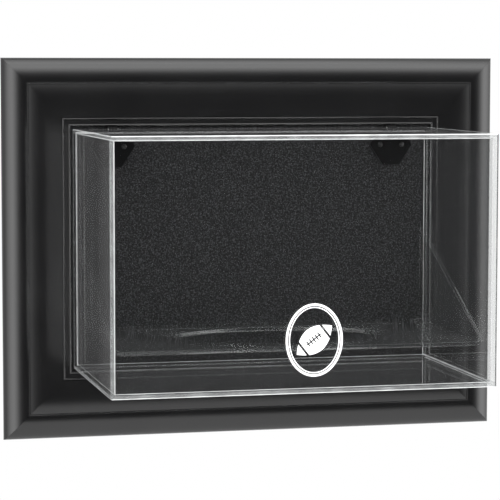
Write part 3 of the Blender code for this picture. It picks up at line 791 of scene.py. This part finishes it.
def bar(x, z, half_x, half_z):
    """A rectangle's corners."""
    return [
        (x - half_x, z - half_z),
        (x + half_x, z - half_z),
        (x + half_x, z + half_z),
        (x - half_x, z + half_z),
    ]


def badge_oval(inset):
    """The badge's outline, drawn in by an inset."""
    wide, tall = EMBLEM_WIDE / 2 - inset, EMBLEM_TALL / 2 - inset
    return arc(EMBLEM_X, EMBLEM_Z, wide, tall, 0, math.tau, 96)[:-1]


def printed(name, outline, holes):
    """One white print on the front panel, with holes cut through it."""
    mesh = mesh_of(extruded(outline, CASE_FRONT + EMBLEM_LIFT, CASE_FRONT + EMBLEM_THICK), name)
    thing = piece(name, mesh, "cover", WHITE)
    cut(thing, [extruded(hole, CASE_FRONT - EMBLEM_CUT, CASE_FRONT + EMBLEM_CUT) for hole in holes])


def make_emblem():
    """A plain oval badge with a laced ball in it."""
    printed("emblem_ring", badge_oval(0), [badge_oval(RING_WIDTH)])
    printed("emblem_inner_ring", badge_oval(INNER_RING_START), [badge_oval(INNER_RING_END)])
    seam = bar(0, 0.03, 0.34, 0.028)
    laces = [bar(x, 0.03, 0.026, 0.13) for x in (-0.28, -0.14, 0, 0.14, 0.28)]
    stripes = [bar(x, 0, 0.045, 0.60) for x in (-0.56, 0.56)]
    marks = [placed(mark) for mark in (seam, *laces, *stripes)]
    printed("emblem_ball", placed(ball_outline(0.90, 0.50)), marks)


# ---------------------------------------------------------------- camera, light, floor
CAMERA_PLACE = Vector((-0.4315, -1.7952, 0.1524))
CAMERA_YAW = 0.2354
CAMERA_PITCH = 0.0845
CAMERA_ROLL = 0.0010
CAMERA_LENS = 159.0
SENSOR_WIDTH = 36
DARK_MIDDLE = Vector((0.232, -0.968, -0.075)).normalized()
PEAK = 5.0                   # the world's strength, which its colours are shares of
# (place, strength): place 0 is straight away from the dark middle, and 1 is the middle itself
SOFT_RING = (
    (0.0, 1.0),
    (0.50, 1.2),
    (0.64, 2.0),
    (0.80, 3.9),
    (0.89, 4.6),
    (0.935, 2.8),
    (0.966, 0.5),
    (0.985, 0.04),
)
LOW_SHARE = 0.35             # share of the ring's light that comes from far below
LOW_FROM, LOW_TO = -0.7, -0.15
FLOOR_Z = -0.62
FLOOR_RADIUS = 1.6


def make_camera():
    """The camera, looking slightly down at the case from its left."""
    data = bpy.data.cameras.new("camera")
    data.lens = CAMERA_LENS
    data.sensor_width = SENSOR_WIDTH
    camera = bpy.data.objects.new("camera", data)
    scene.collection.objects.link(camera)
    aim = Matrix.Rotation(-CAMERA_YAW, 4, "Z") @ Matrix.Rotation(math.pi / 2 - CAMERA_PITCH, 4, "X")
    roll = Matrix.Rotation(CAMERA_ROLL, 4, "Z")
    camera.matrix_world = Matrix.Translation(CAMERA_PLACE) @ aim @ roll
    scene.camera = camera


def make_world():
    """A ring of soft light in front of the case, round a dark middle, with white behind the case."""
    world = bpy.data.worlds.new("studio")
    world.use_nodes = True
    scene.world = world
    tree = world.node_tree
    background = tree.nodes["Background"]
    add, link = tree.nodes.new, tree.links.new
    coords = add("ShaderNodeTexCoord")

    along = add("ShaderNodeVectorMath")
    along.operation = "DOT_PRODUCT"
    along.inputs[1].default_value = DARK_MIDDLE
    link(coords.outputs["Generated"], along.inputs[0])
    share = add("ShaderNodeMapRange")
    share.inputs["From Min"].default_value = -1
    share.inputs["From Max"].default_value = 1
    link(along.outputs["Value"], share.inputs["Value"])
    ramp = add("ShaderNodeValToRGB")
    while len(ramp.color_ramp.elements) < len(SOFT_RING):
        ramp.color_ramp.elements.new(0.5)
    for element, (place, value) in zip(ramp.color_ramp.elements, SOFT_RING):
        element.position = place
        element.color = (value / PEAK, value / PEAK, value / PEAK, 1)
    link(share.outputs["Result"], ramp.inputs["Fac"])

    split = add("ShaderNodeSeparateXYZ")
    link(coords.outputs["Generated"], split.inputs["Vector"])
    low = add("ShaderNodeMapRange")
    low.inputs["From Min"].default_value = LOW_FROM
    low.inputs["From Max"].default_value = LOW_TO
    low.inputs["To Min"].default_value = LOW_SHARE
    link(split.outputs["Z"], low.inputs["Value"])
    dimmed = add("ShaderNodeVectorMath")
    dimmed.operation = "SCALE"
    link(ramp.outputs["Color"], dimmed.inputs[0])
    link(low.outputs["Result"], dimmed.inputs["Scale"])

    path = add("ShaderNodeLightPath")
    seen = add("ShaderNodeMix")
    seen.data_type = "RGBA"
    link(path.outputs["Is Camera Ray"], seen.inputs["Factor"])
    link(dimmed.outputs["Vector"], seen.inputs["A"])
    seen.inputs["B"].default_value = (1 / PEAK, 1 / PEAK, 1 / PEAK, 1)
    link(seen.outputs["Result"], background.inputs["Color"])
    background.inputs["Strength"].default_value = PEAK


def make_light():
    """A softbox overhead for the top edges and the floor."""
    data = bpy.data.lights.new("softbox_top", "AREA")
    data.shape = "RECTANGLE"
    data.size = 1.2
    data.size_y = 0.9
    data.energy = 4.0
    light = bpy.data.objects.new("softbox_top", data)
    scene.collection.objects.link(light)
    place, target = Vector((0, -0.55, 1.45)), Vector((0, -0.35, 0))
    light.location = place
    light.rotation_mode = "QUATERNION"
    light.rotation_quaternion = (target - place).to_track_quat("-Z", "Y")


def make_floor():
    """A round pale floor below the case."""
    bm = bmesh.new()
    bmesh.ops.create_circle(bm, cap_ends=True, segments=96, radius=FLOOR_RADIUS)
    floor = bpy.data.objects.new("floor", mesh_of(bm, "floor"))
    floor.location = (0, 0, FLOOR_Z)
    scene.collection.objects.link(floor)
    floor.data.materials.append(pale_floor())


# ---------------------------------------------------------------- CAD nodes that keep their shape
LEAF_ROUND = 0.0003


def dress(nodes, mat):
    """Gives CAD nodes their material."""
    for node in nodes:
        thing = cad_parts[node]
        thing.data.materials.clear()
        thing.data.materials.append(mat)


def make_small_parts():
    """Hardware, with the hinge leaves' edges rounded."""
    dress([f"corner_nail_{corner}" for corner in CORNERS], ZINC)
    dress(RETAINER_POINTS, ZINC)
    for hand in ("left", "right"):
        dress([f"keyhole_hanger_{hand}"], ZINC)
        leaves = [f"hinge_{hand}_wall_leaf", f"hinge_{hand}_cover_leaf"]
        dress(leaves, PLASTIC)
        for node in leaves:
            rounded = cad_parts[node].modifiers.new("moulded_edges", "BEVEL")
            rounded.width = LEAF_ROUND
            rounded.segments = 2
            rounded.limit_method = "ANGLE"
            rounded.angle_limit = math.radians(40)
        dress([f"hinge_pin_{hand}"], PIN_STEEL)
        dress([f"hanger_screw_{hand}_{end}" for end in ("outer", "inner")], ZINC)
        dress([f"hinge_screw_{hand}_{end}" for end in ("outer", "inner")], BLACK_STEEL)


make_rails()
make_back()
make_cover()
make_cradle()
make_emblem()
make_small_parts()
make_camera()
make_world()
make_light()
make_floor()
